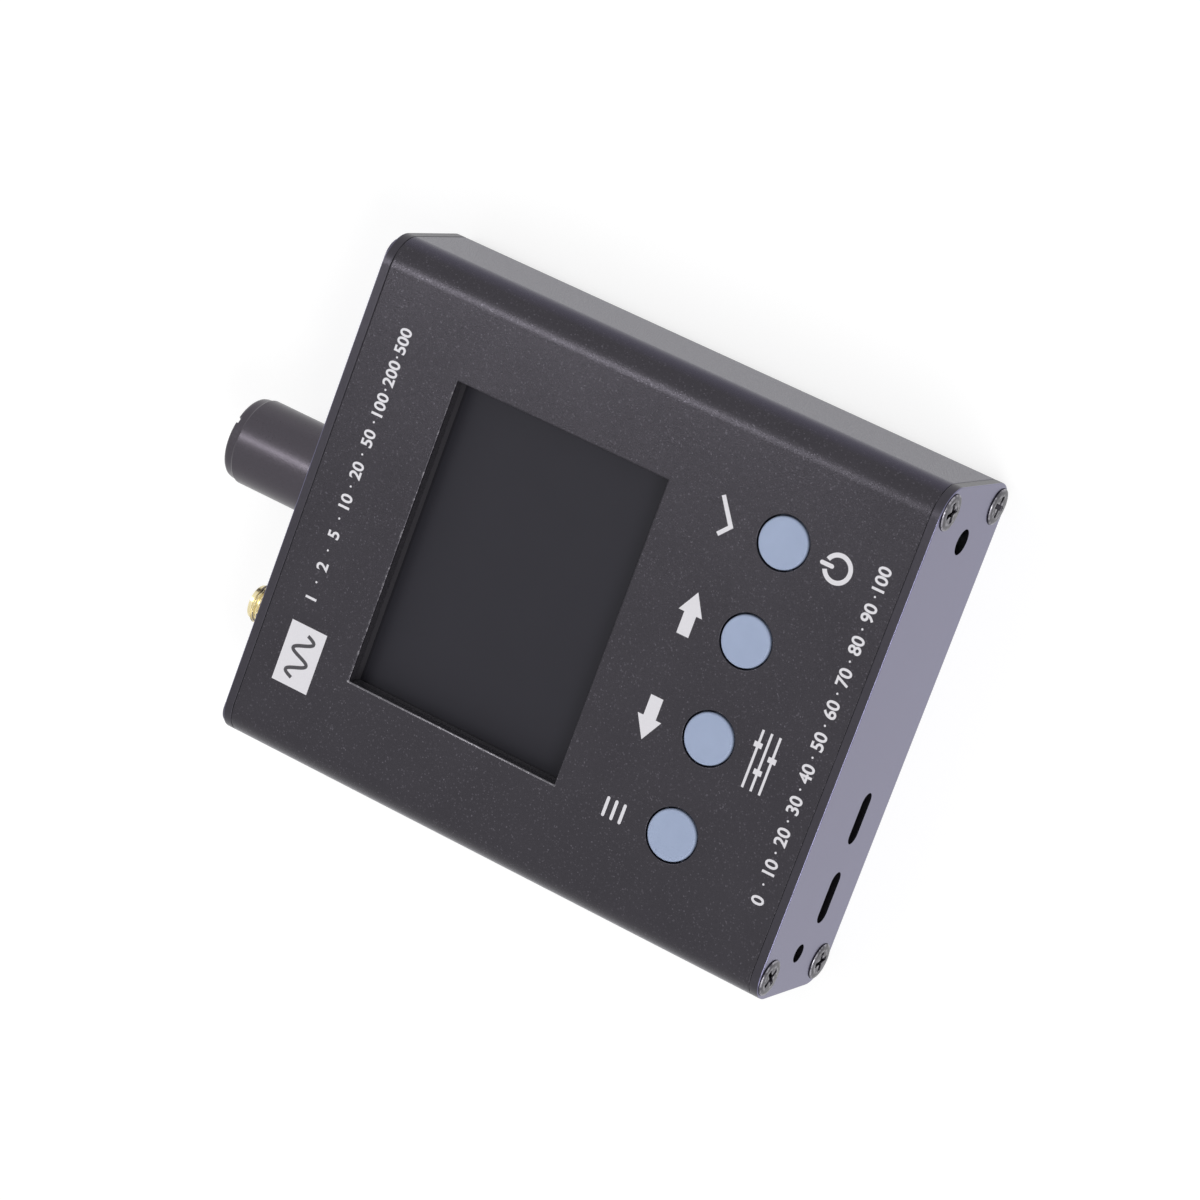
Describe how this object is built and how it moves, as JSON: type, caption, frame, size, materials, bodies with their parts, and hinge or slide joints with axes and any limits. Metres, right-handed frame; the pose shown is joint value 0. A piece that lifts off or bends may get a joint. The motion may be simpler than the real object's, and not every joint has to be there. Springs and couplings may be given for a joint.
{
  "type": "antenna analyzer",
  "caption": "Flat metal instrument case with round long edges, a recessed display, a row of round keys, a turn-and-push knob and a threaded coaxial jack, for measuring antennas.",
  "frame": {"origin": "centre of the flat back face, which the instrument lies on", "axes": "+Z out of the display, +Y along the case towards the end plate with the knob and the jack, +X to the right of a reader who faces the display with that end up"},
  "size_m": [0.082, 0.1143, 0.0257],
  "materials": {
    "case": "dark grey, blasted and anodised",
    "dark_screw": "dark grey, matt",
    "foam": "fine black foam",
    "display": "dark grey, switched off, matt coat",
    "white_plastic": "off-white moulded plastic",
    "flex_film": "amber film",
    "black_plastic": "black moulded plastic",
    "board": "green solder mask",
    "brass": "plain turned brass",
    "steel": "bright plated steel",
    "chip": "black epoxy",
    "ferrite": "grey ferrite",
    "ceramic": "tan ceramic",
    "foil": "silver laminate pouch",
    "red_insulation": "red insulation",
    "gold_plate": "gold plated",
    "key": "pale blue, fine matt",
    "knob": "satin black"
  },
  "bodies": {
    "case": {"case_sleeve": "case", "top_end_plate": "case", "bottom_end_plate": "case", "end_plate_screws": "dark_screw", "display_bezel": "black_plastic", "display_glass": "display", "display_backlight": "white_plastic", "display_flex": "flex_film", "display_flex_socket": "black_plastic", "display_board": "board", "board_spacers": "brass", "spacer_screws": "steel", "board_connector": "black_plastic", "key_switch_bodies": "black_plastic", "key_switch_covers": "steel", "key_switch_domes": "steel", "main_board": "board", "microcontroller": "chip", "support_chips": "chip", "crystal": "steel", "power_inductor": "ferrite", "small_capacitors": "ceramic", "small_resistors": "chip", "buzzer": "black_plastic", "charge_lamp": "white_plastic", "bridge_chip": "chip", "shield_can": "steel", "battery_cell": "foil", "battery_pad": "foam", "battery_leads": "red_insulation", "battery_plug": "white_plastic", "battery_socket": "white_plastic", "port_shells": "steel", "port_tongues": "black_plastic", "jack_body": "gold_plate", "jack_insulator": "white_plastic", "jack_contact": "gold_plate", "jack_washer": "gold_plate", "jack_nut": "gold_plate", "encoder_base": "black_plastic", "encoder_face": "steel", "encoder_terminals": "steel", "encoder_dome": "steel", "encoder_board": "board", "encoder_header": "black_plastic", "encoder_washer": "steel", "encoder_nut": "steel"},
    "power_key": {"power_key_cap": "key", "power_key_plunger": "black_plastic"},
    "right_key": {"right_key_cap": "key", "right_key_plunger": "black_plastic"},
    "left_key": {"left_key_cap": "key", "left_key_plunger": "black_plastic"},
    "menu_key": {"menu_key_cap": "key", "menu_key_plunger": "black_plastic"},
    "rotor": {"encoder_rotor": "black_plastic"},
    "knob": {"encoder_shaft": "steel", "knob_shell": "knob", "knob_core": "black_plastic"},
    "push_plunger": {"encoder_plunger": "black_plastic"}
  },
  "joints": [
    {"name": "power_key_press", "type": "slide", "parent": "case", "child": "power_key", "axis": [0, 0, -1], "range_m": [0, 0.00035], "stiffness_N_per_m": 1000, "springref_m": -0.0008},
    {"name": "right_key_press", "type": "slide", "parent": "case", "child": "right_key", "axis": [0, 0, -1], "range_m": [0, 0.00035], "stiffness_N_per_m": 1000, "springref_m": -0.0008},
    {"name": "left_key_press", "type": "slide", "parent": "case", "child": "left_key", "axis": [0, 0, -1], "range_m": [0, 0.00035], "stiffness_N_per_m": 1000, "springref_m": -0.0008},
    {"name": "menu_key_press", "type": "slide", "parent": "case", "child": "menu_key", "axis": [0, 0, -1], "range_m": [0, 0.00035], "stiffness_N_per_m": 1000, "springref_m": -0.0008},
    {"name": "knob_turn", "type": "hinge", "parent": "case", "child": "rotor", "pos_m": [0, 0.0585, 0.0145], "axis": [0, 1, 0], "continuous": true},
    {"name": "knob_push", "type": "slide", "parent": "rotor", "child": "knob", "axis": [0, -1, 0], "range_m": [0, 0.0005], "stiffness_N_per_m": 1000, "springref_m": -0.0008},
    {"name": "plunger_push", "type": "slide", "parent": "case", "child": "push_plunger", "axis": [0, -1, 0], "range_m": [0, 0.0005]}
  ],
  "couplings": [
    {"joint": "plunger_push", "follows": "knob_push", "ratio": 1}
  ]
}
